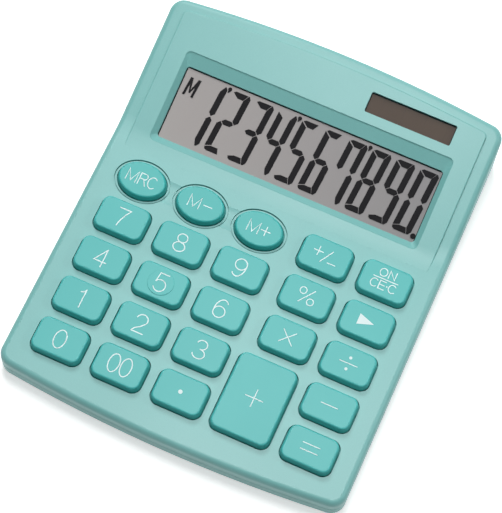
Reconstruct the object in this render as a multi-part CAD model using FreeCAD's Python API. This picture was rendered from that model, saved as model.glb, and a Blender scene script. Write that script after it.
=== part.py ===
import FreeCAD, Part
import math
import os

# Desk calculator with a level keypad deck and a tilted display panel.
# Millimetres. +X right, +Y towards the display, +Z up, origin under the middle of the body.

# Body
body_width = 105.0
body_length = 126.0
edge_bow = 3.0
corner_radius = 4.3
edge_radius = 1.7
deck_height = 10.3
display_depth = 43.2
bend_radius = 25.0
display_tilt = 14.4
parting_height = 5.6
case_bottom = 0.9
side_wall = 1.8
deck_wall = 1.6
floor_wall = 1.6
bottom_radius = 1.2
tongue_width = 0.9
tongue_height = 1.2
tongue_clearance = 0.12
parting_groove = 0.2

# Raised display panel
panel_rim = 4.5
panel_back_rim = 4.0
panel_step = 0.7
panel_bow = 2.4
panel_corner = 1.5
panel_edge = 0.35

# Display opening, along the tilted panel from the bend line
window_inset = 7.35
window_front = 0.7
window_to_solar = 7.2
window_corner = 1.0
bezel_side = 1.6
bezel_front = 2.0
bezel_back = 4.2
bezel_corner = 1.6
bezel_depth = 1.7
bezel_edge = 0.35

# Solar window
solar_wide = 26.7
solar_deep = 6.3
solar_inset = 8.8
solar_rim = 3.75
solar_corner = 0.5
solar_depth = 1.1
solar_margin = 1.2
solar_clearance = 0.1

# Keypad grid
side_margin = 6.9
display_gap = 9.15
key_gap_x = 3.25
key_gap_y = 2.75
block_gap = 2.2
key_corner = 2.6
key_height = 2.4
key_draft = 0.4
key_edge = 0.55
key_clearance = 0.3
key_collar = 0.2
flange_gap = 0.75
flange_thickness = 0.8
key_travel = 1.0
seat_gap = 0.05
oval_narrower = 0.4
oval_deeper = 0.4
oval_height = 1.9
oval_ledge = 0.5
oval_recess = 0.35
oval_groove = 0.3
oval_groove_depth = 0.9
channel_width = 7.0
channel_depth = 0.55
touch_disc_margin = 1.55
touch_disc_height = 0.18

# Rubber mat and board
dome_cap = 0.5
pill_thickness = 0.4
pill_radius = 1.6
pill_gap = 0.1
mat_base = 0.5
dome_base_radius = 4.0
dome_top_radius = 2.6
dome_wall = 0.5
mat_margin = 0.4
board_thickness = 1.2
board_side_gap = 0.6
board_lap = 0.75
board_back_gap = 7.0

# Display cell, behind the panel
film_thickness = 0.2
glass_thickness = 0.7
glass_margin = 1.4
glass_ledge = 1.2
retainer_overlap = 2.0
retainer_width = 4.4
retainer_thickness = 1.4
retainer_inset = 5.0
ribbon_width = 46.0
ribbon_thickness = 0.2

# Fasteners
screw_radius = 0.8
screw_fit = 0.05
screw_head_radius = 1.5
screw_head_height = 0.9
boss_radius = 1.75
board_screw_length = 3.6
case_screw_radius = 1.0
case_head_radius = 1.9
case_head_height = 1.3
case_boss_radius = 2.4
case_tube_radius = 3.1
case_tube_height = 1.9
case_screw_reach = 4.6
case_boss_gap = 0.35
case_screw_side = 9.0
case_screw_front = 5.4
case_screw_back = 7.8
edge_screw_inset = 1.9

# Power
cell_radius = 5.8
cell_height = 3.05
cell_clearance = 0.15
holder_wall = 1.0
cell_inset = 16.1
cell_behind_bend = 19.2
contact_thickness = 0.25
contact_width = 4.0
blob_radius = 6.0
blob_height = 1.5
blob_x = 14.0
blob_behind_bend = 11.2
capacitor_radius = 2.0
capacitor_length = 7.0
capacitor_inset = 16.1
capacitor_behind_bend = 20.2
lead_radius = 0.45

# Feet
foot_radius = 4.2
foot_thickness = 1.5
foot_clearance = 0.05
foot_side = 10.5
foot_front = 16.0
foot_back = 17.0

TILT = math.radians(display_tilt)
FAR = 200.0

# Places that follow from the sizes above
half_width = body_width / 2
half_length = body_length / 2
bend_y = half_length - display_depth
panel_width = body_width - 2 * panel_rim
panel_back = display_depth / math.cos(TILT) - panel_back_rim
solar_right = panel_width / 2 - solar_inset
solar_left = solar_right - solar_wide
solar_back = panel_back - solar_rim
solar_front = solar_back - solar_deep
window_width = panel_width - 2 * window_inset
window_back = solar_front - window_to_solar
flange_margin = (key_gap_y - flange_gap) / 2
front_margin = case_screw_front + case_boss_radius + case_boss_gap + flange_margin
keypad_front = front_margin - half_length
keypad_back = bend_y - display_gap
key_width = (body_width - 2 * side_margin - 4 * key_gap_x - block_gap) / 5
key_depth = (keypad_back - keypad_front - 4 * key_gap_y) / 5
column_pitch = key_width + key_gap_x
row_pitch = key_depth + key_gap_y
first_row = keypad_back - key_depth / 2
oval_width = key_width - oval_narrower
oval_depth = key_depth + oval_deeper
touch_disc_radius = key_depth / 2 - touch_disc_margin
board_side = half_width - side_wall - board_side_gap
board_front = keypad_front - board_lap
board_back = half_length - board_back_gap
cell_x = cell_inset - board_side
cell_y = bend_y + cell_behind_bend
blob_y = bend_y + blob_behind_bend
capacitor_x = board_side - capacitor_inset
capacitor_y = bend_y + capacitor_behind_bend

DISPLAY_BASE = FreeCAD.Vector(0, bend_y, deck_height)
X_AXIS = FreeCAD.Vector(1, 0, 0)
Z_AXIS = FreeCAD.Vector(0, 0, 1)

board_top = (deck_height - deck_wall - 2 * seat_gap - flange_thickness
             - dome_cap - pill_thickness - key_travel - pill_gap)
flange_top = deck_height - deck_wall - seat_gap
flange_bottom = flange_top - flange_thickness
dome_top = flange_bottom - seat_gap
glass_top = -deck_wall


def vec(x, y, z=0.0):
    return FreeCAD.Vector(x, y, z)


def prism(wire, z_low, z_high):
    """Straight solid over a closed wire drawn at z = 0."""
    face = Part.Face(wire)
    face.translate(vec(0, 0, z_low))
    return face.extrude(vec(0, 0, z_high - z_low))


def polygon(points):
    return Part.makePolygon(points + [points[0]])


def rounded_rectangle(width, depth, radius, x=0.0, y=0.0):
    """Closed wire of a rectangle with round corners, centred on x, y."""
    a, b = width / 2, depth / 2
    corner = radius * (1 - math.sqrt(0.5))
    edges = []
    for sx, sy in ((1, 1), (-1, 1), (-1, -1), (1, -1)):
        along_x = vec(x + sx * (a - radius), y + sy * b)
        along_y = vec(x + sx * a, y + sy * (b - radius))
        middle = vec(x + sx * (a - corner), y + sy * (b - corner))
        first, last = (along_y, along_x) if sx * sy > 0 else (along_x, along_y)
        if edges:
            edges.append(Part.LineSegment(edges[-1].valueAt(edges[-1].LastParameter), first).toShape())
        edges.append(Part.Arc(first, middle, last).toShape())
    start = edges[0].valueAt(edges[0].FirstParameter)
    end = edges[-1].valueAt(edges[-1].LastParameter)
    edges.append(Part.LineSegment(end, start).toShape())
    return Part.Wire(edges)


def oval(width, depth, x, y):
    ellipse = Part.Ellipse(vec(x, y), width / 2, depth / 2)
    return Part.Wire([ellipse.toShape()])


def bowed_outline(inset):
    """Plan of the body, moved inwards by inset: straight sides, bowed front and back."""
    a = half_width - inset
    b = half_length - inset
    end = b - edge_bow * (a / half_width) ** 2
    return Part.Wire([
        Part.Arc(vec(-a, -end), vec(0, -b), vec(a, -end)).toShape(),
        Part.LineSegment(vec(a, -end), vec(a, end)).toShape(),
        Part.Arc(vec(a, end), vec(0, b), vec(-a, end)).toShape(),
        Part.LineSegment(vec(-a, end), vec(-a, -end)).toShape()])


def upright_edges(solid):
    return [e for e in solid.Edges if abs(e.tangentAt(e.FirstParameter).z) > 0.99]


def level_edges(solid, z):
    """Edges that lie flat at one height."""
    return [e for e in solid.Edges if all(abs(v.Point.z - z) < 1e-6 for v in e.Vertexes)
            and abs(e.CenterOfMass.z - z) < 1e-6]


def body_block(inset, z_low, z_high):
    block = prism(bowed_outline(inset), z_low, z_high)
    return block.makeFillet(corner_radius - inset, upright_edges(block))


def below_top(fold_y, level, radius):
    """Everything under a level deck that folds up into the tilted display plane."""
    reach = radius * math.tan(TILT / 2)
    rise = FAR * math.tan(TILT)
    start = vec(0, fold_y - reach, level)
    finish = vec(0, fold_y + reach * math.cos(TILT), level + reach * math.sin(TILT))
    middle = vec(0, fold_y - reach + radius * math.sin(TILT / 2), level + radius * (1 - math.cos(TILT / 2)))
    corners = [finish, vec(0, fold_y + FAR, level + rise), vec(0, fold_y + FAR, -FAR),
               vec(0, -FAR, -FAR), vec(0, -FAR, level), start]
    edges = [Part.Arc(start, middle, finish).toShape()]
    for first, last in zip(corners, corners[1:]):
        edges.append(Part.LineSegment(first, last).toShape())
    face = Part.Face(Part.Wire(edges))
    face.translate(vec(-FAR, 0, 0))
    return face.extrude(vec(2 * FAR, 0, 0))


def rim_edges(solid):
    """Edges that bound the upward faces of a solid against its walls."""
    owners = {}
    for face in solid.Faces:
        u0, u1, v0, v1 = face.ParameterRange
        if face.normalAt((u0 + u1) / 2, (v0 + v1) / 2).z > 0.5:
            for edge in face.Edges:
                owners.setdefault(edge.hashCode(), []).append(edge)
    return [group[0] for group in owners.values() if len(group) == 1]


def on_display(shape):
    """Move a shape drawn flat, from the bend line backwards, onto the display plane."""
    placed = shape.copy()
    placed.rotate(vec(0, 0, 0), X_AXIS, display_tilt)
    placed.translate(DISPLAY_BASE)
    return placed


def cylinder(radius, height, x, y, z):
    return Part.makeCylinder(radius, height, vec(x, y, z))


# Keypad plan

outer_column = (4 * column_pitch + block_gap) / 2
columns = [c * column_pitch - outer_column + (block_gap if c > 2 else 0.0) for c in range(5)]
rows = [first_row - r * row_pitch for r in range(5)]
plus_extra = key_gap_x + block_gap - key_gap_y

key_plan = {}
for row, names in enumerate((("mrc", "memory_minus", "memory_plus", "sign", "on_clear"),
                             ("7", "8", "9", "percent", "delete"),
                             ("4", "5", "6", "multiply", "divide"),
                             ("1", "2", "3", None, "minus"),
                             ("0", "00", "point", None, "equals"))):
    for column, name in enumerate(names):
        if name:
            key_plan[name] = (columns[column], rows[row], key_width, key_depth)
key_plan["plus"] = (columns[3] - plus_extra / 2, (rows[3] + rows[4]) / 2,
                    key_width + plus_extra, key_depth + row_pitch)
oval_keys = ("mrc", "memory_minus", "memory_plus")


def key_wire(name, grow):
    """Plan of a key at deck level, grown outwards all round."""
    x, y, width, depth = key_plan[name]
    if name in oval_keys:
        return oval(oval_width + 2 * grow, oval_depth + 2 * grow, x, y)
    return rounded_rectangle(width + 2 * grow, depth + 2 * grow, key_corner + grow, x, y)


def make_key(name):
    """Cap with drafted sides and a round top edge, on a flange that the deck holds down."""
    height = oval_height if name in oval_keys else key_height
    foot = prism(key_wire(name, 0.0), flange_top, deck_height + key_collar)
    low = key_wire(name, 0.0)
    low.translate(vec(0, 0, deck_height + key_collar))
    high = key_wire(name, -key_draft)
    high.translate(vec(0, 0, deck_height + height))
    cap = Part.makeLoft([low, high], True, True)
    cap = cap.makeFillet(key_edge, rim_edges(cap))
    flange = prism(key_wire(name, flange_margin), flange_bottom, flange_top)
    key = flange.fuse([foot, cap])
    if name == "5":
        x, y = key_plan[name][:2]
        disc = cylinder(touch_disc_radius, 2 * touch_disc_height, x, y, deck_height + height - touch_disc_height)
        key = key.fuse(disc.makeFillet(touch_disc_height / 2, rim_edges(disc)))
    return key.removeSplitter()


# Fastener places

edge_screw_x = half_width - side_wall - edge_screw_inset
board_screws_at = [(s * edge_screw_x, (rows[k] + rows[k + 1]) / 2) for s in (-1, 1) for k in (0, 2)]
board_screws_at.append(((columns[2] + columns[3]) / 2, (rows[1] + rows[2]) / 2))
case_screws_at = [(s * (half_width - case_screw_side), y) for s in (-1, 1)
                  for y in (case_screw_front - half_length, half_length - case_screw_back)]
feet_at = [(s * (half_width - foot_side), y) for s in (-1, 1)
           for y in (foot_front - half_length, half_length - foot_back)]
case_boss_foot = case_bottom + floor_wall + case_tube_height + screw_fit
mouth_half = window_width / 2 + bezel_side
mouth_front = window_front - bezel_front
mouth_back = window_back + bezel_back
glass_half = window_width / 2 + glass_margin
glass_front = window_front - glass_margin
glass_back = window_back + glass_margin
glass_bottom = glass_top - 2 * film_thickness - 2 * glass_thickness
retainer_x = glass_half - retainer_overlap + retainer_width / 2
retainer_screw_x = glass_half + boss_radius + screw_fit
retainer_front = glass_front + retainer_inset
retainer_ends = (retainer_front + retainer_width / 2, glass_back - retainer_width / 2)
retainer_screws_at = [(s * retainer_screw_x, t) for s in (-1, 1) for t in retainer_ends]
solar_x = (solar_left + solar_right) / 2
solar_t = (solar_front + solar_back) / 2
inner_top = (bend_y + deck_wall * math.tan(TILT / 2), deck_height - deck_wall, bend_radius + deck_wall)


# Upper case

def raised_panel():
    """Slightly raised field around the display, fading into the deck at the bend."""
    fold = bend_y - panel_step / math.sin(TILT)
    reach = bend_radius * math.tan(TILT / 2)
    half = panel_width / 2
    front = fold - reach - panel_step
    back = bend_y + panel_back * math.cos(TILT)
    outline = Part.Wire([
        Part.LineSegment(vec(-half, front), vec(half, front)).toShape(),
        Part.LineSegment(vec(half, front), vec(half, back - panel_bow)).toShape(),
        Part.Arc(vec(half, back - panel_bow), vec(0, back), vec(-half, back - panel_bow)).toShape(),
        Part.LineSegment(vec(-half, back - panel_bow), vec(-half, front)).toShape()])
    block = prism(outline, deck_height - deck_wall / 2, FAR)
    corners = [e for e in upright_edges(block) if e.CenterOfMass.y > bend_y]
    block = block.makeFillet(panel_corner, corners).common(below_top(fold, deck_height, bend_radius))
    lip = [e for e in rim_edges(block) if e.BoundBox.YMax > front + panel_step]
    return block.makeFillet(panel_edge, lip)


def mouth_wire(shrink, height):
    """Outline of the recess on the panel, drawn smaller all round at some height."""
    wire = rounded_rectangle(2 * (mouth_half - shrink), mouth_back - mouth_front - 2 * shrink,
                             bezel_corner - shrink, 0, (mouth_back + mouth_front) / 2)
    wire.translate(vec(0, 0, height))
    return wire


def display_recess():
    """Funnel from the panel's surface down to the display opening, with a bevelled mouth."""
    opening = rounded_rectangle(window_width, window_back - window_front, window_corner,
                                0, (window_back + window_front) / 2)
    floor = opening.copy()
    floor.translate(vec(0, 0, panel_step - bezel_depth))
    bevel = mouth_wire(bezel_edge, panel_step - bezel_edge)
    funnel = Part.makeLoft([floor, bevel], True, True)
    flare = Part.makeLoft([bevel, mouth_wire(0.0, panel_step)], True, True)
    clear_above = prism(mouth_wire(0.0, 0.0), panel_step, panel_step + deck_wall)
    clear_below = prism(opening, -2 * deck_wall, panel_step - bezel_depth)
    return on_display(funnel.fuse([flare, clear_above, clear_below]))


def make_upper_case():
    shell = body_block(0.0, parting_height, FAR).common(below_top(bend_y, deck_height, bend_radius))
    shell = shell.makeFillet(edge_radius, rim_edges(shell))
    shell = shell.makeChamfer(parting_groove, level_edges(shell, parting_height))
    shell = shell.fuse(raised_panel()).removeSplitter().cut(display_recess())
    cavity = body_block(side_wall, parting_height - 1, FAR).common(below_top(*inner_top))
    rebate_inset = side_wall - tongue_width - tongue_clearance
    rebate = body_block(rebate_inset, parting_height - 1, parting_height + tongue_height + tongue_clearance)
    shell = shell.cut([cavity, rebate])
    room = body_block(side_wall / 2, 0, FAR).common(below_top(bend_y, deck_height, bend_radius))
    posts = [cylinder(boss_radius, FAR, x, y, board_top) for x, y in board_screws_at]
    posts += [cylinder(case_boss_radius, FAR, x, y, case_boss_foot) for x, y in case_screws_at]
    inside = body_block(rebate_inset + tongue_width + 2 * tongue_clearance, 0, FAR)
    low_room = inside.common(room)
    posts = [post.common(low_room) for post in posts]
    pads = []
    for x, t in retainer_screws_at:
        pads.append(on_display(cylinder(boss_radius, -glass_bottom, x, t, glass_bottom)).common(room))
    shell = shell.fuse(posts + pads)
    solar_hole = rounded_rectangle(solar_wide, solar_deep, solar_corner, solar_x, solar_t)
    cuts = [on_display(prism(solar_hole, -2 * deck_wall, 2 * deck_wall))]
    pocket = rounded_rectangle(solar_wide + 2 * solar_margin, solar_deep + 2 * solar_margin,
                               solar_corner, solar_x, solar_t)
    cuts.append(on_display(prism(pocket, -2 * deck_wall, panel_step - solar_depth)))
    for name, (x, y, width, depth) in key_plan.items():
        cuts.append(prism(key_wire(name, key_clearance), deck_height - deck_wall - seat_gap, deck_height + 1))
        if name in oval_keys:
            ledge = key_wire(name, key_clearance + oval_ledge)
            rim = key_wire(name, key_clearance + oval_ledge + oval_groove)
            groove = prism(rim, deck_height - oval_groove_depth, deck_height + 1)
            cuts.append(groove.cut(prism(ledge, 0, deck_height - oval_recess)))
    curve = ((channel_width / 2) ** 2 + channel_depth ** 2) / (2 * channel_depth)
    channel = Part.makeCylinder(curve, columns[2] - columns[0],
                                vec(columns[0], rows[0], deck_height + curve - channel_depth), X_AXIS)
    cuts.append(channel)
    for x, y in board_screws_at:
        cuts.append(cylinder(screw_radius + screw_fit, deck_height - 2 * screw_radius - board_top, x, y, board_top))
    for x, y in case_screws_at:
        cuts.append(cylinder(case_screw_radius + screw_fit, case_screw_reach + screw_fit, x, y, case_boss_foot))
    for x, t in retainer_screws_at:
        cuts.append(on_display(cylinder(screw_radius + screw_fit, -glass_bottom, x, t, glass_bottom)))
    return shell.cut(cuts).removeSplitter()


# Lower case

def make_lower_case():
    tray = body_block(0.0, case_bottom, parting_height)
    tray = tray.makeFillet(bottom_radius, level_edges(tray, case_bottom))
    tray = tray.makeChamfer(parting_groove, level_edges(tray, parting_height))
    tongue = body_block(side_wall - tongue_width, parting_height, parting_height + tongue_height)
    tray = tray.fuse(tongue)
    tray = tray.cut(body_block(side_wall, case_bottom + floor_wall, FAR))
    tubes = [cylinder(case_tube_radius, case_tube_height, x, y, case_bottom + floor_wall) for x, y in case_screws_at]
    inside = body_block(side_wall / 2, case_bottom, parting_height)
    tray = tray.fuse([tube.common(inside) for tube in tubes])
    cuts = []
    for x, y in case_screws_at:
        cuts.append(cylinder(case_screw_radius + 2 * screw_fit, FAR, x, y, 0))
        cuts.append(cylinder(case_head_radius + 2 * screw_fit, floor_wall, x, y, case_bottom))
    for x, y in feet_at:
        depth = foot_thickness - case_bottom
        cuts.append(cylinder(foot_radius + foot_clearance, depth, x, y, case_bottom))
    return tray.cut(cuts).removeSplitter()


# Board, mat and display cell

def make_board():
    outline = rounded_rectangle(2 * board_side, board_back - board_front, corner_radius - side_wall,
                                0, (board_back + board_front) / 2)
    board = prism(outline, board_top - board_thickness, board_top)
    holes = [cylinder(screw_radius + 2 * screw_fit, 2 * board_thickness, x, y, board_top - 1.5 * board_thickness)
             for x, y in board_screws_at]
    for x, y in case_screws_at:
        holes.append(cylinder(case_tube_radius + key_clearance, 2 * board_thickness, x, y,
                              board_top - 1.5 * board_thickness))
    return board.cut(holes)


def make_mat():
    """Silicone sheet with one collapsing dome under every key."""
    left = columns[0] - key_width / 2
    front = rows[4] - key_depth / 2
    back = rows[0] + key_depth / 2
    sheet = rounded_rectangle(-2 * left, back - front, key_corner, 0, (front + back) / 2)
    mat = prism(sheet, board_top, board_top + mat_base)
    domes, hollows = [], []
    under = dome_top - dome_cap
    for x, y, width, depth in key_plan.values():
        domes.append(Part.makeCone(dome_base_radius, dome_top_radius, dome_top - board_top, vec(x, y, board_top)))
        hollow = Part.makeCone(dome_base_radius - dome_wall, dome_top_radius - dome_wall, under - board_top,
                               vec(x, y, board_top))
        hollows.append(hollow.cut(cylinder(pill_radius, pill_thickness, x, y, under - pill_thickness)))
    mat = mat.fuse(domes).cut(hollows)
    posts = [cylinder(boss_radius + mat_margin, 2 * mat_base, x, y, board_top - mat_base / 2)
             for x, y in board_screws_at]
    return mat.cut(posts).removeSplitter()


def display_layer(top, thickness, side, front, back):
    sheet = rounded_rectangle(2 * side, back - front, window_corner, 0, (front + back) / 2)
    return on_display(prism(sheet, top - thickness, top))


def make_retainers():
    bars = []
    for side in (-1, 1):
        strip = rounded_rectangle(retainer_width, glass_back - retainer_front, window_corner,
                                  side * retainer_x, (retainer_front + glass_back) / 2)
        bar = prism(strip, glass_bottom - retainer_thickness, glass_bottom)
        ears = [prism(rounded_rectangle(2 * retainer_width, retainer_width, window_corner,
                                        side * retainer_x, t), glass_bottom - retainer_thickness, glass_bottom)
                for t in retainer_ends]
        holes = [cylinder(screw_radius + 2 * screw_fit, 4 * retainer_thickness, side * retainer_screw_x, t,
                          glass_bottom - 2 * retainer_thickness) for t in retainer_ends]
        bars.append(on_display(bar.fuse(ears).cut(holes).removeSplitter()))
    return Part.makeCompound(bars)


def make_ribbon():
    """Flat connector from the ledge of the front glass down to the board."""
    ledge = on_display(Part.Vertex(0, glass_back - glass_ledge / 2, glass_top - film_thickness - glass_thickness))
    start = ledge.Point
    landing = vec(0, start.y + glass_ledge, board_top)
    t = ribbon_thickness
    pad = glass_ledge
    profile = polygon([
        vec(0, landing.y - t, board_top), vec(0, landing.y + pad, board_top),
        vec(0, landing.y + pad, board_top + t), vec(0, landing.y, board_top + t),
        vec(0, start.y + t, start.z), vec(0, start.y, start.z)])
    face = Part.Face(profile)
    face.translate(vec(-ribbon_width / 2, 0, 0))
    return face.extrude(vec(ribbon_width, 0, 0))


# Power pieces

def make_holder():
    outer = cylinder(cell_radius + cell_clearance + holder_wall, cell_height, cell_x, cell_y, board_top)
    bore = cylinder(cell_radius + cell_clearance, cell_height, cell_x, cell_y, board_top + contact_thickness)
    base = cylinder(contact_width, cell_height, cell_x, cell_y, board_top - 1)
    gate = Part.makeBox(contact_width, 2 * cell_radius, cell_height,
                        vec(cell_x - contact_width / 2, cell_y + cell_radius / 2, board_top))
    return outer.cut([bore, base, gate])


def make_negative_contact():
    return cylinder(contact_width - cell_clearance, contact_thickness, cell_x, cell_y, board_top)


def make_positive_contact():
    """Spring clip that reaches over the cell from the board beside it."""
    top = board_top + contact_thickness + cell_height
    out = cell_radius + cell_clearance + holder_wall + contact_thickness
    t = contact_thickness
    profile = polygon([
        vec(0, cell_y, top), vec(0, cell_y, top + t), vec(0, cell_y + out + t, top + t),
        vec(0, cell_y + out + t, board_top), vec(0, cell_y + out, board_top), vec(0, cell_y + out, top)])
    face = Part.Face(profile)
    width = contact_width - 2 * cell_clearance
    face.translate(vec(cell_x - width / 2, 0, 0))
    return face.extrude(vec(width, 0, 0))


def make_lead(x):
    """Insulated wire from the back of the solar cell to the board."""
    top = on_display(Part.Vertex(x, solar_t, -deck_wall)).Point
    under_cell = on_display(Part.makeBox(FAR, FAR, FAR, vec(-FAR / 2, 0, -deck_wall - FAR)))
    return cylinder(lead_radius, top.z + lead_radius - board_top, x, top.y, board_top).common(under_cell)


def screw(radius, reach, head_radius, head_height, head_round):
    """Pan head screw, drawn point up with its head below z = 0."""
    head = Part.makeCylinder(head_radius, head_height, vec(0, 0, -head_height))
    head = head.makeFillet(head_round, level_edges(head, -head_height))
    shank = Part.makeCylinder(radius, reach)
    cross = Part.makeBox(head_radius, screw_fit * 6, head_height, vec(-head_radius / 2, -screw_fit * 3,
                                                                       -1.5 * head_height))
    turned = cross.copy()
    turned.rotate(vec(0, 0, 0), Z_AXIS, 90)
    return head.fuse(shank).cut([cross, turned])


def copies(shape, places):
    solids = []
    for place in places:
        one = shape.copy()
        one.translate(place)
        solids.append(one)
    return Part.makeCompound(solids)


def make_feet():
    foot = Part.makeCylinder(foot_radius, foot_thickness)
    foot = foot.makeFillet(foot_thickness / 3, level_edges(foot, 0.0))
    return copies(foot, [vec(x, y, 0) for x, y in feet_at])


small_screw = screw(screw_radius, board_screw_length - board_thickness, screw_head_radius, screw_head_height,
                    screw_head_height / 3)
board_screw = screw(screw_radius, board_screw_length, screw_head_radius, screw_head_height, screw_head_height / 3)
case_screw = screw(case_screw_radius, case_screw_reach + case_tube_height, case_head_radius, case_head_height,
                   case_head_height / 3)

capacitor = Part.makeCylinder(capacitor_radius, capacitor_length,
                              vec(capacitor_x - capacitor_length / 2, capacitor_y, board_top + capacitor_radius),
                              X_AXIS)
blob = cylinder(blob_radius, blob_height, blob_x, blob_y, board_top)
film_top = glass_top
front_glass_top = film_top - film_thickness
rear_glass_top = front_glass_top - glass_thickness
reflector_top = rear_glass_top - glass_thickness

parts = {
    "upper_case": make_upper_case(),
    "lower_case": make_lower_case(),
    "main_board": make_board(),
    "key_mat": make_mat(),
    "lcd_front_polarizer": display_layer(film_top, film_thickness, glass_half - film_thickness,
                                         glass_front + film_thickness, glass_back - glass_ledge),
    "lcd_front_glass": display_layer(front_glass_top, glass_thickness, glass_half, glass_front, glass_back),
    "lcd_rear_glass": display_layer(rear_glass_top, glass_thickness, glass_half, glass_front,
                                    glass_back - glass_ledge),
    "lcd_reflector": display_layer(reflector_top, film_thickness, glass_half, glass_front,
                                   glass_back - glass_ledge),
    "lcd_retainers": make_retainers(),
    "lcd_ribbon": make_ribbon(),
    "solar_cell": on_display(prism(
        rounded_rectangle(solar_wide + 2 * (solar_margin - solar_clearance),
                          solar_deep + 2 * (solar_margin - solar_clearance), solar_corner, solar_x, solar_t),
        -deck_wall, panel_step - solar_depth)),
    "solar_lead_red": make_lead(solar_right - solar_margin),
    "solar_lead_black": make_lead(solar_left + solar_margin),
    "battery_holder": make_holder(),
    "button_cell": cylinder(cell_radius, cell_height, cell_x, cell_y, board_top + contact_thickness),
    "positive_contact": make_positive_contact(),
    "negative_contact": make_negative_contact(),
    "controller_blob": blob.makeFillet(blob_height * 0.8, rim_edges(blob)),
    "smoothing_capacitor": capacitor,
    "board_screws": copies(board_screw, [vec(x, y, board_top - board_thickness) for x, y in board_screws_at]),
    "retainer_screws": on_display(copies(small_screw, [vec(x, t, glass_bottom - retainer_thickness)
                                                       for x, t in retainer_screws_at])),
    "case_screws": copies(case_screw, [vec(x, y, case_bottom + floor_wall) for x, y in case_screws_at]),
    "rubber_feet": make_feet(),
}
for key_name in key_plan:
    parts["key_" + key_name] = make_key(key_name)

os.makedirs("parts", exist_ok=True)
for node, shape in parts.items():
    shape.exportStep("parts/" + node + ".step")
    box = shape.BoundBox
    print(node, len(shape.Solids), shape.isValid(), round(shape.Volume, 2),
          [round(v, 2) for v in (box.XMin, box.XMax, box.YMin, box.YMax, box.ZMin, box.ZMax)])
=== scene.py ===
# %% [markdown]
# # A desk calculator, dressed for its picture
# The solids of the calculator are already exact: case, keys, display cell, screws and feet. This lesson
# gives them their finishes, prints the legends on the keys, lights the display's segments and takes the
# picture. Everything ends up in metres, in the same frame as the solids, so a print goes where the key's
# own size puts it.

# %% Load the solids
import math
import bpy
from mathutils import Matrix, Vector


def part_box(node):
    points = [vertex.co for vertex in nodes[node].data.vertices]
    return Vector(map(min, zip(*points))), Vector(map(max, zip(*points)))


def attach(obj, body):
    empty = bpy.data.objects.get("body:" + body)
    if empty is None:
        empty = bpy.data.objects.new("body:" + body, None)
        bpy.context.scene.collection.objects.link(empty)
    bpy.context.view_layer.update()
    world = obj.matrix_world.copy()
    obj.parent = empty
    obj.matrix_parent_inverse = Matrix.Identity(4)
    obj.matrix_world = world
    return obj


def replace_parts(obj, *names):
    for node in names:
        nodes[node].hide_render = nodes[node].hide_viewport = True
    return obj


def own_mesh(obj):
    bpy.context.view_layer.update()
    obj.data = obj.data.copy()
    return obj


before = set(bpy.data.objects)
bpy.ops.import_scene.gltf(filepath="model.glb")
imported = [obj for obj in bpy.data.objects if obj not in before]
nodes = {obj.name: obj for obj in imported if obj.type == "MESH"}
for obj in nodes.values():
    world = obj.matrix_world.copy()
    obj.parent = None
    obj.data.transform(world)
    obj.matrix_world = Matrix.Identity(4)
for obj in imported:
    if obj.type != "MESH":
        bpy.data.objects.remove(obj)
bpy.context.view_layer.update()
MM = 0.001

# %% [markdown]
# ## Shared effects
# Injection-moulded plastic is never one flat colour. The tool it was moulded in is spark eroded, which
# leaves a grain of tiny pits, and the pigment drifts a little over the part. Both effects appear on the
# case, the keys and the feet, so each is one node group that every material places with its own numbers.
# The group only makes masks and colours: the shader stays in the material, where an exporter can read it.

# %% Node group: moulded grain
FACTOR, FLOAT_A, FLOAT_B, FLOAT_OUT = 0, 2, 3, 0       # sockets of a Mix node for numbers
COLOUR_A, COLOUR_B, COLOUR_OUT = 6, 7, 2               # and for colours
RIPPLE_SHARE = 0.25
SPECK_SCALE = 5200.0


def start_group(name, inputs, outputs):
    """Empty shader group with named sockets; returns the group, its input node and its output node."""
    group = bpy.data.node_groups.new(name, "ShaderNodeTree")
    for label, kind, value in inputs:
        socket = group.interface.new_socket(label, in_out="INPUT", socket_type=kind)
        socket.default_value = value
    for label, kind in outputs:
        group.interface.new_socket(label, in_out="OUTPUT", socket_type=kind)
    return group, group.nodes.new("NodeGroupInput"), group.nodes.new("NodeGroupOutput")


def make_grain_group():
    """Fine pits over coarse ripples, as a height and as a mask from 0 to 1."""
    group, given, made = start_group(
        "moulded_grain",
        [("Grain Scale", "NodeSocketFloat", 6000.0), ("Ripple Scale", "NodeSocketFloat", 300.0)],
        [("Height", "NodeSocketFloat"), ("Mask", "NodeSocketFloat")])
    place = group.nodes.new("ShaderNodeTexCoord")
    pits = group.nodes.new("ShaderNodeTexNoise")
    pits.inputs["Detail"].default_value = 4.0
    pits.inputs["Roughness"].default_value = 0.6
    ripple = group.nodes.new("ShaderNodeTexNoise")
    ripple.inputs["Detail"].default_value = 2.0
    blend = group.nodes.new("ShaderNodeMix")
    blend.inputs[FACTOR].default_value = RIPPLE_SHARE
    for texture, scale in ((pits, "Grain Scale"), (ripple, "Ripple Scale")):
        group.links.new(place.outputs["Object"], texture.inputs["Vector"])
        group.links.new(given.outputs[scale], texture.inputs["Scale"])
    group.links.new(pits.outputs["Fac"], blend.inputs[FLOAT_A])
    group.links.new(ripple.outputs["Fac"], blend.inputs[FLOAT_B])
    group.links.new(blend.outputs[FLOAT_OUT], made.inputs["Height"])
    group.links.new(pits.outputs["Fac"], made.inputs["Mask"])
    return group


grain_group = make_grain_group()
print("made group", grain_group.name)

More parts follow.
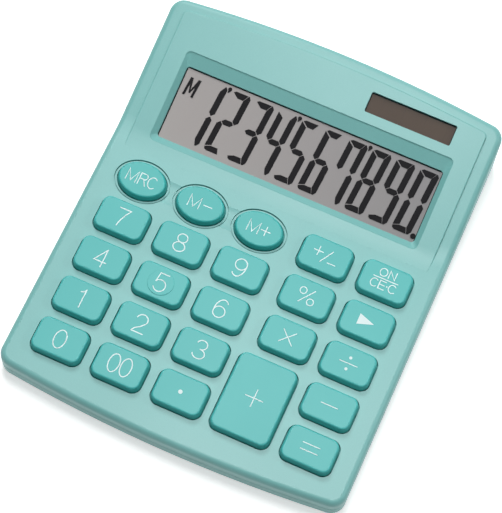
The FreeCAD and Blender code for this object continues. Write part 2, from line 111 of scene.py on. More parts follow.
# %% Node group: pigment drift
def make_drift_group():
    """A colour that wanders softly between two given colours, with a trace of fine speckle."""
    group, given, made = start_group(
        "pigment_drift",
        [("Colour", "NodeSocketColor", (0.5, 0.5, 0.5, 1.0)),
         ("Drifted", "NodeSocketColor", (0.5, 0.5, 0.5, 1.0)),
         ("Drift Scale", "NodeSocketFloat", 30.0), ("Speckle", "NodeSocketFloat", 0.1)],
        [("Colour", "NodeSocketColor")])
    place = group.nodes.new("ShaderNodeTexCoord")
    cloud = group.nodes.new("ShaderNodeTexNoise")
    cloud.inputs["Detail"].default_value = 3.0
    speck = group.nodes.new("ShaderNodeTexNoise")
    speck.inputs["Scale"].default_value = SPECK_SCALE
    speck.inputs["Detail"].default_value = 2.0
    spread = group.nodes.new("ShaderNodeMapRange")
    spread.inputs["From Min"].default_value = 0.3
    spread.inputs["From Max"].default_value = 0.7
    soft = group.nodes.new("ShaderNodeMix")
    soft.data_type = "RGBA"
    fine = group.nodes.new("ShaderNodeMix")
    fine.data_type = "RGBA"
    fine.blend_type = "SOFT_LIGHT"
    group.links.new(place.outputs["Object"], cloud.inputs["Vector"])
    group.links.new(place.outputs["Object"], speck.inputs["Vector"])
    group.links.new(given.outputs["Drift Scale"], cloud.inputs["Scale"])
    group.links.new(cloud.outputs["Fac"], spread.inputs["Value"])
    group.links.new(spread.outputs["Result"], soft.inputs[FACTOR])
    group.links.new(given.outputs["Colour"], soft.inputs[COLOUR_A])
    group.links.new(given.outputs["Drifted"], soft.inputs[COLOUR_B])
    group.links.new(given.outputs["Speckle"], fine.inputs[FACTOR])
    group.links.new(soft.outputs[COLOUR_OUT], fine.inputs[COLOUR_A])
    group.links.new(speck.outputs["Fac"], fine.inputs[COLOUR_B])
    group.links.new(fine.outputs[COLOUR_OUT], made.inputs["Colour"])
    return group


drift_group = make_drift_group()
print("made group", drift_group.name)

# %% [markdown]
# ## Finishes
# A finish here is one Principled shader fed by the two groups: the drift gives its colour, the grain gives
# its roughness and a small bump. Colours are written as a painter would mix them, in the 0 to 255 numbers
# of a screen, and turned into linear light once. The same function makes the case, the keys, the rubber and
# the hidden pieces, because on the real object they differ only in these numbers.

# %% Helper: a finish from its numbers
ROUGH_SPREAD = 0.08
SMOOTHEST = 0.02
COAT_ROUGH = 0.25
DENT_DEPTH = 0.00002


def light(red, green, blue):
    """Linear colour from screen numbers."""
    out = []
    for value in (red, green, blue):
        value /= 255.0
        out.append(value / 12.92 if value <= 0.04045 else ((value + 0.055) / 1.055) ** 2.4)
    return (*out, 1.0)


def finish(name, colour, drifted, rough, grain=6000.0, bump=0.15, drift=30.0, speckle=0.1,
           metallic=0.0, specular=0.5, coat=0.0):
    """Procedural material: drifting colour, grained roughness and a fine bump."""
    material = bpy.data.materials.new(name)
    material.use_nodes = True
    tree = material.node_tree
    shader = tree.nodes["Principled BSDF"]
    shader.inputs["Metallic"].default_value = metallic
    shader.inputs["Specular IOR Level"].default_value = specular
    shader.inputs["Coat Weight"].default_value = coat
    shader.inputs["Coat Roughness"].default_value = COAT_ROUGH
    tint = tree.nodes.new("ShaderNodeGroup")
    tint.node_tree = drift_group
    tint.inputs["Colour"].default_value = light(*colour)
    tint.inputs["Drifted"].default_value = light(*drifted)
    tint.inputs["Drift Scale"].default_value = drift
    tint.inputs["Speckle"].default_value = speckle
    pits = tree.nodes.new("ShaderNodeGroup")
    pits.node_tree = grain_group
    pits.inputs["Grain Scale"].default_value = grain
    spread = tree.nodes.new("ShaderNodeMapRange")
    spread.inputs["To Min"].default_value = max(SMOOTHEST, rough - ROUGH_SPREAD)
    spread.inputs["To Max"].default_value = min(1.0, rough + ROUGH_SPREAD)
    dents = tree.nodes.new("ShaderNodeBump")
    dents.inputs["Strength"].default_value = bump
    dents.inputs["Distance"].default_value = DENT_DEPTH
    tree.links.new(tint.outputs["Colour"], shader.inputs["Base Color"])
    tree.links.new(pits.outputs["Mask"], spread.inputs["Value"])
    tree.links.new(spread.outputs["Result"], shader.inputs["Roughness"])
    tree.links.new(pits.outputs["Height"], dents.inputs["Height"])
    tree.links.new(dents.outputs["Normal"], shader.inputs["Normal"])
    return material


def blend_in(material, factor, colour):
    """Turn a finish towards a second colour where factor is 1."""
    tree = material.node_tree
    base = tree.nodes["Principled BSDF"].inputs["Base Color"]
    tint = base.links[0].from_socket
    mix = tree.nodes.new("ShaderNodeMix")
    mix.data_type = "RGBA"
    mix.inputs[COLOUR_B].default_value = light(*colour)
    tree.links.new(factor, mix.inputs[FACTOR])
    tree.links.new(tint, mix.inputs[COLOUR_A])
    tree.links.new(mix.outputs[COLOUR_OUT], base)


def dress(material, *names):
    """Give CAD solids a finish."""
    for name in names:
        data = nodes[name].data
        data.materials.clear()
        data.materials.append(material)
    print(material.name, "on", ", ".join(names))


# %% [markdown]
# ### Case and keys
# Case, panel and keys are one family of teal plastic. The case has the coarser spark-eroded grain, which
# makes it look paler and flatter; the keys are smoother and more saturated, and the three oval memory keys
# a shade deeper again.

# %% Case and key plastics
case_plastic = finish("teal_case", (118, 185, 182), (126, 191, 188), 0.42,
                      grain=5200.0, bump=0.22, speckle=0.16, specular=0.65)
key_plastic = finish("teal_key", (56, 179, 176), (66, 185, 182), 0.46,
                     grain=7500.0, bump=0.10, speckle=0.08, specular=0.65)
oval_plastic = finish("teal_oval_key", (50, 177, 173), (60, 183, 179), 0.44,
                      grain=7500.0, bump=0.10, speckle=0.08, specular=0.6)
dress(case_plastic, "upper_case", "lower_case")
key_names = [name for name in nodes if name.startswith("key_") and name != "key_mat"]
oval_names = ["key_mrc", "key_memory_minus", "key_memory_plus"]
dress(oval_plastic, *oval_names)
dress(key_plastic, *[name for name in key_names if name not in oval_names])

# %% [markdown]
# ### Display and solar cell
# The display shows the matte face of its polarizing film, a warm grey, with a painted reflection: lighter at
# the front left, darker at the back right. The solar cell is amorphous silicon on glass: dark brown,
# smoother than the plastic around it, with the faint lines that divide its strips.

# %% Display film, glass and solar cell
# Painted reflection: the film's grey is lighter at its front left and darker at its back right.
REFLECTION_WAY = (1.0, 0.7, 0.0)                # across the film, from front left to back right
REFLECTION_START, REFLECTION_STOP = -0.0263, 0.0703   # metres along that way
STRIP_SCALE = 47.0
LINE_START, LINE_STRENGTH = 0.985, 0.15


def film_with_painted_reflection():
    """Warm grey, with a painted reflection that lightens its front left and darkens its back right."""
    material = finish("polarizer_grey", (174, 168, 166), (170, 164, 162), 0.42,
                      grain=9000.0, bump=0.04, drift=18.0, speckle=0.05, specular=0.3)
    tree = material.node_tree
    place = tree.nodes.new("ShaderNodeTexCoord")
    across = tree.nodes.new("ShaderNodeVectorMath")
    across.operation = "DOT_PRODUCT"
    across.inputs[1].default_value = REFLECTION_WAY
    painted_reflection = tree.nodes.new("ShaderNodeMapRange")
    painted_reflection.inputs["From Min"].default_value = REFLECTION_START
    painted_reflection.inputs["From Max"].default_value = REFLECTION_STOP
    tree.links.new(place.outputs["Object"], across.inputs[0])
    tree.links.new(across.outputs["Value"], painted_reflection.inputs["Value"])
    # painted reflection: the grey turns darker towards the back right
    blend_in(material, painted_reflection.outputs["Result"], (134, 132, 134))
    return material


def solar_finish():
    """Brown strips parted by thin darker lines."""
    material = finish("solar_brown", (78, 63, 51), (71, 57, 46), 0.34,
                      grain=3000.0, bump=0.03, drift=60.0, speckle=0.05, specular=0.12)
    tree = material.node_tree
    place = tree.nodes.new("ShaderNodeTexCoord")
    strips = tree.nodes.new("ShaderNodeTexWave")
    strips.inputs["Scale"].default_value = STRIP_SCALE
    sharpen = tree.nodes.new("ShaderNodeMapRange")
    sharpen.inputs["From Min"].default_value = LINE_START
    sharpen.inputs["To Max"].default_value = LINE_STRENGTH
    tree.links.new(place.outputs["Object"], strips.inputs["Vector"])
    tree.links.new(strips.outputs["Fac"], sharpen.inputs["Value"])
    blend_in(material, sharpen.outputs["Result"], (60, 50, 42))
    return material


reflector = finish("diffuse_reflector", (190, 190, 184), (178, 178, 172), 0.45, grain=4000.0, metallic=0.6)
glass = finish("display_glass", (150, 156, 152), (144, 150, 147), 0.2, bump=0.02, speckle=0.02, specular=0.3)
dress(film_with_painted_reflection(), "lcd_front_polarizer")
dress(glass, "lcd_front_glass", "lcd_rear_glass")
dress(reflector, "lcd_reflector")
dress(solar_finish(), "solar_cell")

# %% [markdown]
# ### Pieces inside and underneath
# The pieces inside only show when the model is taken apart, and the feet and screws only from below, but
# each has its own finish: solder mask, silicone, cured epoxy, plated steel, rubber.

# %% Inner and underside finishes
dress(finish("solder_mask", (28, 92, 56), (34, 104, 62), 0.35, coat=0.3), "main_board")
silicone = finish("grey_silicone", (176, 178, 174), (168, 170, 166), 0.62)
dress(silicone, "key_mat")
dress(finish("black_moulding", (34, 34, 35), (42, 42, 43), 0.5), "lcd_retainers", "battery_holder")
dress(finish("amber_film", (176, 118, 44), (162, 104, 36), 0.3), "lcd_ribbon")
dress(finish("red_insulation", (186, 34, 32), (172, 28, 28), 0.4), "solar_lead_red")
dress(finish("black_insulation", (26, 26, 27), (34, 34, 35), 0.4), "solar_lead_black")
dress(finish("epoxy_black", (22, 22, 23), (30, 30, 31), 0.4, bump=0.05), "controller_blob")
dress(finish("capacitor_sleeve", (34, 44, 88), (40, 50, 96), 0.35), "smoothing_capacitor")
plated = finish("plated_steel", (190, 189, 184), (178, 177, 172), 0.32, grain=2600.0, metallic=1.0)
dress(plated, "button_cell", "positive_contact", "negative_contact")
dress(finish("zinc_screw", (150, 150, 148), (132, 132, 131), 0.38, grain=3200.0, metallic=1.0),
      "board_screws", "retainer_screws", "case_screws")
dress(finish("foot_rubber", (40, 41, 42), (48, 49, 50), 0.75, grain=2600.0, bump=0.4), "rubber_feet")

# %% [markdown]
# ### Key mat
# Under the keys lies one moulded silicone sheet with a dome for every key. A dome folds when its key goes
# down, which one stiff solid can't show. So the faces of the solid are sorted into the sheet and its domes,
# and each dome becomes a piece of its own with its own mesh.

# %% Sheet and domes
DOME_REACH = 4.05 * MM      # a dome's foot, just beyond its radius
mat = nodes["key_mat"].data
centres = {name: sum(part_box(name), Vector()) / 2 for name in key_names}


def piece_of_mat(name, faces):
    """A piece made of some of the mat's faces."""
    used = sorted({index for face in faces for index in face.vertices})
    place = {old: new for new, old in enumerate(used)}
    data = bpy.data.meshes.new(name)
    data.from_pydata([mat.vertices[index].co for index in used], [],
                     [[place[index] for index in face.vertices] for face in faces])
    data.materials.append(silicone)
    piece = bpy.data.objects.new(name, data)
    bpy.context.scene.collection.objects.link(piece)
    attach(piece, "case")
    return piece


def owner(face):
    """The key whose dome holds all of a face, or None for the sheet."""
    for name, centre in centres.items():
        if all((mat.vertices[index].co.xy - centre.xy).length < DOME_REACH for index in face.vertices):
            return name
    return None


faces_of = {name: [] for name in (None, *key_names)}
for face in mat.polygons:
    faces_of[owner(face)].append(face)
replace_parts(piece_of_mat("mat_sheet", faces_of[None]), "key_mat")
for name in key_names:
    dome = piece_of_mat(name.replace("key_", "mat_dome_"), faces_of[name])
    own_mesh(dome)
sheet_faces = len(faces_of[None])
print(sheet_faces, "faces in the sheet,", len(mat.polygons) - sheet_faces, "in", len(key_names), "domes")

# %% [markdown]
# ## Printed legends
# The legends are pad-printed: a thin white film of ink with even, round-ended strokes. Blender's text
# objects would bring in a typeface with its own proportions, so the signs are drawn here as pen strokes
# instead. A pen path is a list of points; the brush below walks along it and leaves a low bead of ink with
# round ends.

# %% Helper: pen strokes into a flat mesh
INK = 0.02            # height of a print over its surface, in millimetres like all that follows
LAYER = 0.002         # extra height of each next stroke
BEAD = 0.014          # rise along the middle of a stroke
CAP_STEPS = 8         # steps round the end of a stroke
SAME_POINT = 1e-6
SHARPEST_TURN = 0.5


def arc(x, y, rx, ry, start, stop, steps=28):
    """Points along part of an ellipse, angles in degrees."""
    out = []
    for step in range(steps + 1):
        angle = math.radians(start + (stop - start) * step / steps)
        out.append((x + rx * math.cos(angle), y + ry * math.sin(angle)))
    return out


def ribbon(points, pen):
    """Vertices and faces of one stroke: a bead of ink, highest along its middle, closed if its ends meet."""
    path = [Vector(point) for point in points]
    closed = (path[0] - path[-1]).length < SAME_POINT
    if closed:
        path.pop()
    count = len(path)
    verts, faces, sides = [], [], []
    for index, point in enumerate(path):
        after = path[(index + 1) % count] if closed else path[min(index + 1, count - 1)]
        before = path[index - 1] if closed else path[max(index - 1, 0)]
        ahead = (after - point).normalized() if after != point else (point - before).normalized()
        behind = (point - before).normalized() if before != point else ahead
        along = (ahead + behind).normalized()
        across = Vector((-along.y, along.x))
        stretch = 1.0 / max(SHARPEST_TURN, across.dot(Vector((-ahead.y, ahead.x))))
        sides.append(across * stretch * pen / 2)
    for point, side in zip(path, sides):
        verts += [(point + side).to_3d(), point.to_3d() + Vector((0, 0, BEAD)), (point - side).to_3d()]
    for index in range(count if closed else count - 1):
        a, b = 3 * index, 3 * ((index + 1) % count)
        faces += [(a, a + 1, b + 1, b), (a + 1, a + 2, b + 2, b + 1)]
    if not closed:
        for index, turn in ((0, 1), (count - 1, -1)):
            first = len(verts)
            for step in range(CAP_STEPS + 1):
                swing = Matrix.Rotation(turn * math.pi * step / CAP_STEPS, 2) @ sides[index]
                verts.append((path[index] + swing).to_3d())
            for step in range(CAP_STEPS):
                fan = (3 * index + 1, first + step, first + 1 + step)
                faces.append(fan if turn > 0 else fan[::-1])
    return verts, faces


def filled(points):
    """Vertices and one face of a filled shape."""
    return [Vector(point).to_3d() for point in points], [tuple(range(len(points)))]


def flat_mesh(name, shapes, lift):
    """One mesh from nearly flat shapes, each placed by lift(x, y, height), all in millimetres."""
    verts, faces = [], []
    for layer, (points, polygons) in enumerate(shapes):
        base = len(verts)
        verts += [lift(point.x, point.y, INK + layer * LAYER + point.z) for point in points]
        faces += [tuple(base + index for index in polygon) for polygon in polygons]
    data = bpy.data.meshes.new(name)
    data.from_pydata(verts, [], faces)
    data.update()
    piece = bpy.data.objects.new(name, data)
    bpy.context.scene.collection.objects.link(piece)
    return piece


print("pen ready")

# %% [markdown]
# ### The signs as pen paths
# Each sign is drawn around its own middle, in millimetres. Round figures are parts of ellipses, so the
# shapes stay smooth at any zoom. Paths that meet, such as the bowl and the stem of a six, are separate
# strokes laid a hair above each other, which avoids two faces fighting for one plane.

# %% Digits and signs
def ring(x, y, rx, ry):
    """A whole ellipse, started at its top."""
    return arc(x, y, rx, ry, 90, 450, 44)


def half_turn(strokes):
    """The same strokes upside down."""
    return [[(-x, -y) for x, y in stroke] for stroke in strokes]


SIX = [ring(0, -1.1, 1.72, 1.68),
       arc(0.35, -0.6, 2.07, 3.38, 180, 96, 20) + arc(0.12, 1.75, 1.45, 1.03, 92, 12, 12)]
DIGITS = {
    "0": [ring(0, 0, 1.72, 2.78)],
    "1": [[(-0.75, 1.72), (-0.1, 1.92), (0.32, 2.3), (0.5, 2.78)], [(0.5, 2.78), (0.5, -2.78)]],
    "2": [arc(0, 1.2, 1.65, 1.58, 168, -28, 24) + [(0.2, -0.85), (-1.1, -1.75), (-1.7, -2.72)],
          [(-1.7, -2.72), (1.75, -2.72)]],
    "3": [arc(-0.1, 1.4, 1.5, 1.38, 165, -90, 26), arc(-0.1, -1.38, 1.78, 1.4, 90, -165, 28)],
    "4": [[(0.78, -2.78), (0.78, 2.7)], [(0.78, 2.7), (-1.85, -1.28), (1.85, -1.28)]],
    "5": [[(1.5, 2.72), (-1.12, 2.72), (-1.5, 0.05)], arc(-0.02, -0.98, 1.75, 1.78, 146, -152, 30)],
    "6": SIX,
    "7": [[(-1.72, 2.72), (1.72, 2.72)],
          [(1.72, 2.72), (0.75, 1.2), (0.0, -0.5), (-0.42, -1.9), (-0.55, -2.78)]],
    "8": [ring(0, 1.42, 1.45, 1.34), ring(0, -1.36, 1.74, 1.42)],
    "9": half_turn(SIX),
}


def cross(x, y, reach):
    """An upright cross."""
    return [[(x - reach, y), (x + reach, y)], [(x, y - reach), (x, y + reach)]]


def capital(letter, x, y, wide, tall):
    """Strokes of one capital letter in its box."""
    a, b = wide / 2, tall / 2
    shapes = {
        "M": [[(-a, -b), (-a, b), (0, -b * 0.9), (a, b), (a, -b)]],
        "R": [[(-a, -b), (-a, b)],
              [(-a, b), (a * 0.3, b)] + arc(a * 0.3, b / 2 + 0.04, a * 0.62, b / 2 - 0.04, 90, -90, 16)
              + [(-a, 0.08)],
              [(a * 0.15, 0.05), (a, -b)]],
        "C": [arc(0, 0, a, b, 48, 312, 30)],
        "O": [ring(0, 0, a, b)],
        "N": [[(-a, -b), (-a, b), (a, -b), (a, b)]],
        "E": [[(a, b), (-a, b), (-a, -b), (a, -b)], [(-a, 0.05), (a * 0.8, 0.05)]],
    }
    return [[(px + x, py + y) for px, py in stroke] for stroke in shapes[letter]]


print(len(DIGITS), "digits drawn")

# %% [markdown]
# ### Which sign goes on which key
# The point, the dots of the division sign and the arrow are filled shapes rather than strokes, so every key
# lists its strokes and its filled shapes apart.

# %% Key legends
def dot(x, y, radius):
    """Outline of a round dot."""
    return arc(x, y, radius, radius, 0, 345, 23)


def shifted(strokes, x, scale):
    """Strokes narrowed by scale and moved sideways."""
    return [[(px * scale + x, py) for px, py in stroke] for stroke in strokes]


LEGENDS = {name: (strokes, []) for name, strokes in DIGITS.items()}
LEGENDS.update({
    "00": (shifted(DIGITS["0"], -1.82, 0.9) + shifted(DIGITS["0"], 1.82, 0.9), []),
    "point": ([], [dot(0, 0, 0.62)]),
    "plus": (cross(0, 0, 2.6), []),
    "minus": ([[(-2.45, 0), (2.45, 0)]], []),
    "multiply": ([[(-1.95, -1.95), (1.95, 1.95)], [(-1.95, 1.95), (1.95, -1.95)]], []),
    "divide": ([[(-2.6, 0), (2.6, 0)]], [dot(0, 1.75, 0.45), dot(0, -1.75, 0.45)]),
    "equals": ([[(-2.5, 0.98), (2.5, 0.98)], [(-2.5, -0.98), (2.5, -0.98)]], []),
    "percent": ([ring(-1.55, 1.35, 0.98, 1.02), ring(1.55, -1.3, 0.98, 1.02),
                 [(-1.75, -2.35), (1.75, 2.35)]], []),
    "delete": ([], [[(-2.6, 1.68), (-2.6, -1.68), (2.15, 0)]]),
    "sign": (cross(-2.35, 0.75, 1.35) + [[(-0.85, -2.2), (1.6, 1.95)], [(1.3, -1.75), (3.65, -1.75)]], []),
    "on_clear": (capital("O", -1.35, 2.35, 2.2, 2.4) + capital("N", 1.35, 2.35, 1.9, 2.4)
                 + [[(-3.7, 0.45), (3.7, 0.45)]]
                 + capital("C", -2.75, -1.5, 2.2, 2.5) + capital("E", -0.4, -1.5, 1.75, 2.5)
                 + capital("C", 2.75, -1.5, 2.2, 2.5), [dot(1.05, -1.45, 0.24)]),
    "mrc": (capital("M", -3.05, 0, 3.0, 3.6) + capital("R", 0.35, 0, 2.3, 3.6)
            + capital("C", 3.25, 0, 2.6, 3.6), []),
    "memory_minus": (capital("M", -1.75, 0, 3.3, 3.6) + [[(1.05, 0), (3.55, 0)]], []),
    "memory_plus": (capital("M", -1.65, 0, 3.3, 3.6) + cross(2.1, 0, 1.4), []),
})
legend_ink = finish("white_legend_ink", (226, 244, 244), (218, 240, 240), 0.45,
                    grain=9000.0, bump=0.05, drift=200.0, speckle=0.04)
DIGIT_PEN, SIGN_PEN = 0.32, 0.28
for name, (strokes, solids) in LEGENDS.items():
    low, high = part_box("key_" + name)
    middle = (low + high) / 2
    pen = DIGIT_PEN if name.isdigit() else SIGN_PEN
    shapes = [ribbon(stroke, pen) for stroke in strokes] + [filled(shape) for shape in solids]

    def on_key(x, y, height, middle=middle, top=high.z):
        return (middle.x + x * MM, middle.y + y * MM, top + height * MM)

    print_piece = flat_mesh("legend_" + name, shapes, on_key)
    print_piece.data.materials.append(legend_ink)
    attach(print_piece, "button_" + name)
print(len(LEGENDS), "legends printed")

# %% [markdown]
# ## Display segments
# A liquid crystal digit is seven bars with mitred ends, leaning a few degrees. Each bar has its own outline,
# and one function makes a digit from the names of its lit bars. The bars lie on the film of the tilted cell:
# its slope comes from the film's own corners, so nothing has to be measured twice.

# %% The film's plane
BEND_Y, BEND_Z = 19.8 * MM, 10.3 * MM      # where the deck bends up into the display section
FRONT_EDGE = 0.6 * MM
film_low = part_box("lcd_front_polarizer")[0]
film_verts = [vertex.co for vertex in nodes["lcd_front_polarizer"].data.vertices]
top_back = max(film_verts, key=lambda co: co.z)
top_front = max((co for co in film_verts if co.y < film_low.y + FRONT_EDGE), key=lambda co: co.z)
TILT = math.atan2(top_back.z - top_front.z, top_back.y - top_front.y)
BEND = Vector((0, BEND_Y, BEND_Z))
ALONG = Vector((0, math.cos(TILT), math.sin(TILT)))
NORMAL = Vector((0, -math.sin(TILT), math.cos(TILT)))
film_height = (top_back - BEND).dot(NORMAL) / MM
print("display tilt", round(math.degrees(TILT), 2), "film at", round(film_height, 3), "mm")


def on_film(x, t, height):
    """A point on the display film, in millimetres from the bend line."""
    return BEND + Vector((x * MM, 0, 0)) + ALONG * (t * MM) + NORMAL * ((film_height + height) * MM)


# %% [markdown]
# ### Bars, dots and the number shown
# The lit number counts up through all ten digits, with a comma-like mark after every thousand and a point
# at the end. The memory sign sits in its own corner.

# %% Segments
LIT = {"1": "bc", "2": "abged", "3": "abgcd", "4": "fgbc", "5": "afgcd", "6": "afgedc", "7": "fabc",
       "8": "abcdefg", "9": "abcdfg", "0": "abcdef"}
LEAN = math.tan(math.radians(4.1))
BAR = 1.85
SLIT = 0.1
DIGIT_LOW, DIGIT_HIGH = 2.4, 21.9
DIGIT_WIDE = 5.9
DIGIT_PITCH = 7.444
FIRST_DIGIT = -30.53
MARK_SHIFT, MARK_HIGH, MARK_RADIUS = 4.19, 21.73, 0.62
POINT_X, POINT_LOW, POINT_RADIUS = 39.75, 2.6, 0.82


def digit_bars():
    """Outlines of the seven bars of an upright digit, around its own middle."""
    a, w, s = DIGIT_WIDE / 2, BAR, SLIT
    top = (DIGIT_HIGH - DIGIT_LOW) / 2
    tip = w / 2 + s
    return {
        "a": [(-a + 0.3, top - 0.48), (-a + w + 0.3, top - w), (a - w - s, top - w), (a - 0.95 - s, top),
              (-a + 0.95, top)],
        "b": [(a - w, top - w), (a - w, tip), (a - w / 2, s), (a, tip), (a, top - 0.85), (a - 0.65, top),
              (a - 0.9, top)],
        "c": [(a - w / 2, -s), (a - w, -tip), (a - w, w - top), (a - 1.12, -top), (a - 0.65, -top),
              (a, 0.9 - top), (a, -tip)],
        "d": [(-a + 0.05, 1.05 - top), (-a + 0.35, 0.35 - top), (-a + 0.95, -top), (a - 1.12 - s, -top),
              (a - w - s, w - 0.1 - top), (-a + 1.75, w - 0.1 - top)],
        "e": [(-a + w / 2, -s), (-a, -tip), (-a, 1.3 - top), (-a + w, 2.0 - top), (-a + w, -tip)],
        "f": [(-a, top - 0.6), (-a, tip), (-a + w / 2, s), (-a + w, tip), (-a + w, top - w - 0.15)],
        "g": [(-a + 1.1, 0), (-a + 1.95, -0.84), (a - 1.85, -0.84), (a - 1.1, 0), (a - 1.85, 0.84),
              (-a + 1.95, 0.84)],
    }


def digit_shapes(lit, x):
    """The lit bars of one leaning digit centred on x."""
    bars = digit_bars()
    middle = (DIGIT_HIGH + DIGIT_LOW) / 2
    return [filled([(x + px + pt * LEAN, middle + pt) for px, pt in bars[name]]) for name in lit]


def thousands_mark(x, t):
    """A round dot with a short tail."""
    tail = [(x - 0.45, t - 0.4), (x - 0.32, t - 1.15), (x - 0.08, t - 1.2), (x + 0.38, t - 0.48)]
    return [filled(dot(x, t, MARK_RADIUS)), filled(tail)]


lit_shapes = []
for index, digit in enumerate("1234567890"):
    lit_shapes += digit_shapes(LIT[digit], FIRST_DIGIT + index * DIGIT_PITCH)
for index in (0, 3, 6):
    lit_shapes += thousands_mark(FIRST_DIGIT + MARK_SHIFT + index * DIGIT_PITCH, MARK_HIGH)
lit_shapes.append(filled(dot(POINT_X, POINT_LOW, POINT_RADIUS)))
M_SIGN = ([(-39.0, 15.1), (-38.25, 15.1), (-37.7, 20.75), (-38.45, 20.75)],
          [(-36.3, 15.1), (-35.55, 15.1), (-35.1, 20.75), (-35.9, 20.75)],
          [(-37.35, 16.15), (-36.9, 16.15), (-37.6, 20.75), (-38.35, 20.75)],
          [(-37.35, 16.15), (-36.9, 16.15), (-35.2, 20.75), (-35.95, 20.75)])
lit_shapes += [filled(bar) for bar in M_SIGN]
segments = flat_mesh("lcd_segments", lit_shapes, on_film)
segment_ink = finish("segment_black", (19, 18, 21), (25, 24, 27), 0.6,
                     grain=9000.0, bump=0.03, drift=120.0, specular=0.12)
segments.data.materials.append(segment_ink)
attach(segments, "case")
print(len(lit_shapes), "lit shapes on the film")

# %% [markdown]
# ### Painted shadow beside the film and the solar cell
# Both sit a little below their openings, whose walls shade a thin line along their edges. That shadow is
# painted as a dark flat frame on each surface, with its own width on every side.

# %% Painted shadow frames
FILM_EDGES = (-40.65, 40.65, 0.7, 23.35)       # left, right, front and back
# widths of the painted shadow on each side: left, right, front and back
FILM_SHADOW_WIDTHS = (0.36, 0.26, 0.08, 0.4)
SOLAR_EDGES = (12.5, 39.2, 30.55, 36.85)
SOLAR_SHADOW_WIDTHS = (0.24, 0.3, 0.18, 0.42)


def frame_shapes(left, right, front, back, widths):
    """Four flat strips inside a rectangle; widths are left, right, front and back."""
    w_left, w_right, w_front, w_back = widths
    boxes = ((left, left + w_left, front, back), (right - w_right, right, front, back),
             (left + w_left, right - w_right, front, front + w_front),
             (left + w_left, right - w_right, back - w_back, back))
    return [filled([(x0, t0), (x1, t0), (x1, t1), (x0, t1)]) for x0, x1, t0, t1 in boxes]


def on_solar(x, t, height):
    """A point on the solar cell's face, in millimetres from the bend line."""
    return on_film(x, t, height + solar_height - film_height)


solar_top = max((vertex.co for vertex in nodes["solar_cell"].data.vertices), key=lambda co: co.z)
solar_height = (solar_top - BEND).dot(NORMAL) / MM
# painted shadow: a flat dark colour where the walls of the openings shade the film and the cell
painted_shadow_finish = finish("painted_edge_shadow", (30, 44, 45), (36, 50, 51), 0.7, bump=0.05, specular=0.1)
for name, shapes, lift, slot in (
        ("lcd_edge_gap", frame_shapes(*FILM_EDGES, FILM_SHADOW_WIDTHS), on_film, "lcd_film"),
        ("solar_edge_gap", frame_shapes(*SOLAR_EDGES, SOLAR_SHADOW_WIDTHS), on_solar, "solar")):
    shadow_frame = flat_mesh(name, shapes, lift)
    shadow_frame.data.materials.append(painted_shadow_finish)
    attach(shadow_frame, "case")
print("edge gaps drawn")

# %% [markdown]
# ## Smooth shading
# The solids come in as fine facets. Faces that meet at a small angle belong to one curved surface and are
# shaded as one, while real edges stay crisp. Weighing the normals by area keeps a broad flat face flat
# right up to the rounding beside it.

# %% Shade by angle
SHARP_ANGLE = math.radians(28)
for node in nodes.values():
    node.data.shade_smooth()
    node.data.set_sharp_from_angle(angle=SHARP_ANGLE)
    weigh = node.modifiers.new("flat_faces", "WEIGHTED_NORMAL")
    weigh.keep_sharp = True
print("shaded", len(nodes), "solids")

# %% [markdown]
# ## Floor, light and camera
# The picture is a catalogue cut-out: white ground and soft light from above and behind, which leaves the
# front walls of the keys in shade, with a small lamp at the right for the edge of the case. The floor is
# plain and nearly white, with a little extra brightness that only the camera and mirrors see, so it reads
# as white yet keeps the soft shadow under the body.

# %% Floor
PAPER_WHITE = (0.92, 0.92, 0.92, 1)
PAPER_GLOW = 0.55
FLOOR_CORNERS = [(-3, -4, 0), (5, -4, 0), (5, 4, 0), (-3, 4, 0)]


def seen_directly(tree):
    """Output that is 1 for rays of the camera, of mirrors and through glass, and 0 for scattered light."""
    path = tree.nodes.new("ShaderNodeLightPath")
    mirrored = tree.nodes.new("ShaderNodeMath")
    mirrored.operation = "MAXIMUM"
    through = tree.nodes.new("ShaderNodeMath")
    through.operation = "MAXIMUM"
    tree.links.new(path.outputs["Is Camera Ray"], mirrored.inputs[0])
    tree.links.new(path.outputs["Is Glossy Ray"], mirrored.inputs[1])
    tree.links.new(mirrored.outputs[0], through.inputs[0])
    tree.links.new(path.outputs["Is Transmission Ray"], through.inputs[1])
    return through.outputs[0]


def white_floor():
    """Matte white paper with a little glow that only the camera and mirrors see; clear from below."""
    material = bpy.data.materials.new("white_floor")
    material.use_nodes = True
    tree = material.node_tree
    tree.nodes.clear()
    out = tree.nodes.new("ShaderNodeOutputMaterial")
    paper = tree.nodes.new("ShaderNodeBsdfDiffuse")
    paper.inputs["Color"].default_value = PAPER_WHITE
    glow = tree.nodes.new("ShaderNodeEmission")
    scale = tree.nodes.new("ShaderNodeMath")
    scale.operation = "MULTIPLY"
    scale.inputs[1].default_value = PAPER_GLOW
    both = tree.nodes.new("ShaderNodeAddShader")
    side = tree.nodes.new("ShaderNodeNewGeometry")
    clear = tree.nodes.new("ShaderNodeBsdfTransparent")
    pick = tree.nodes.new("ShaderNodeMixShader")
    tree.links.new(seen_directly(tree), scale.inputs[0])
    tree.links.new(scale.outputs[0], glow.inputs["Strength"])
    tree.links.new(paper.outputs[0], both.inputs[0])
    tree.links.new(glow.outputs[0], both.inputs[1])
    tree.links.new(side.outputs["Backfacing"], pick.inputs[0])
    tree.links.new(both.outputs[0], pick.inputs[1])
    tree.links.new(clear.outputs[0], pick.inputs[2])
    tree.links.new(pick.outputs[0], out.inputs["Surface"])
    return material


floor_data = bpy.data.meshes.new("floor")
floor_data.from_pydata(FLOOR_CORNERS, [], [(0, 1, 2, 3)])
floor = bpy.data.objects.new("floor", floor_data)
bpy.context.scene.collection.objects.link(floor)
floor.data.materials.append(white_floor())
print("floor laid")

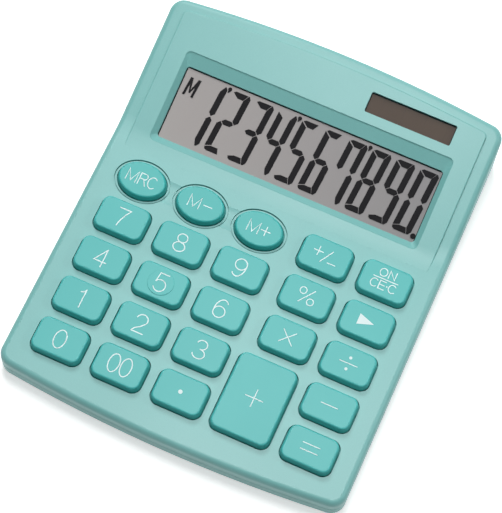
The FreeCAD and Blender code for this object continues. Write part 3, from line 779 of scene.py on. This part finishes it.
# %% Lights
LAMPS = {
    # name: place, aim, size in metres, power in watts
    "back_key": ((-0.36, 0.62, 0.80), (0, 0, 0), 0.4, 4.2),
    "top_soft": ((-0.02, 0.085, 0.64), (0.0, -0.02, 0), 0.2, 1.75),
    "edge_strip": ((0.62, 0.26, 0.50), (0.03, 0, 0), 0.12, 0.7),
}
ROOM_DIM, ROOM_SEEN = 0.16, 0.8


def area_light(name, place, aim, size, watts):
    """A round lamp that shines from its place towards its aim."""
    data = bpy.data.lights.new(name, "AREA")
    data.shape = "DISK"
    data.size = size
    data.energy = watts
    lamp = bpy.data.objects.new(name, data)
    bpy.context.scene.collection.objects.link(lamp)
    lamp.location = place
    lamp.rotation_euler = (Vector(aim) - Vector(place)).to_track_quat("-Z", "Y").to_euler()


def white_world():
    """White room: dim as a lamp, bright to the camera and in reflections."""
    world = bpy.data.worlds.new("studio")
    world.use_nodes = True
    tree = world.node_tree
    room = tree.nodes["Background"]
    room.inputs["Color"].default_value = (1, 1, 1, 1)
    strength = tree.nodes.new("ShaderNodeMapRange")
    strength.inputs["To Min"].default_value = ROOM_DIM
    strength.inputs["To Max"].default_value = ROOM_SEEN
    tree.links.new(seen_directly(tree), strength.inputs["Value"])
    tree.links.new(strength.outputs["Result"], room.inputs["Strength"])
    return world


for lamp_name, settings in LAMPS.items():
    area_light(lamp_name, *settings)
bpy.context.scene.world = white_world()
bpy.context.scene.view_settings.view_transform = "Standard"
print("lights set")

# %% [markdown]
# ### Camera
# The camera was found by matching the outline, the key grid and the display in the picture: nearly
# overhead, from the front right, with a long lens and a slight roll. The lens is worked out from the
# picture's height of 513 pixels, because Blender measures the sensor along the longer side.

# %% Camera
AZIMUTH, ELEVATION, ROLL = 19.4423, 68.5125, 4.8658
DISTANCE, FOCAL_PIXELS, PICTURE_HEIGHT = 0.5569, 1951.1, 513
TARGET = Vector((0.03, -2.80, 10.3)) * MM
SENSOR = 36.0
around, up_angle, tip = (math.radians(angle) for angle in (AZIMUTH, ELEVATION, ROLL))
level = math.cos(up_angle)
back = Vector((math.sin(around) * level, -math.cos(around) * level, math.sin(up_angle)))
right = (-back).cross(Vector((0, 0, 1))).normalized()
upward = right.cross(-back)
rolled_right = math.cos(tip) * right + math.sin(tip) * upward
rolled_up = -math.sin(tip) * right + math.cos(tip) * upward
camera_data = bpy.data.cameras.new("camera")
camera_data.sensor_width = SENSOR
camera_data.lens = FOCAL_PIXELS * SENSOR / PICTURE_HEIGHT
camera = bpy.data.objects.new("camera", camera_data)
bpy.context.scene.collection.objects.link(camera)
turn = Matrix((rolled_right, rolled_up, back)).transposed().to_4x4()
camera.matrix_world = Matrix.Translation(TARGET + back * DISTANCE) @ turn
bpy.context.scene.camera = camera
print("lens", round(camera_data.lens, 2), "mm")
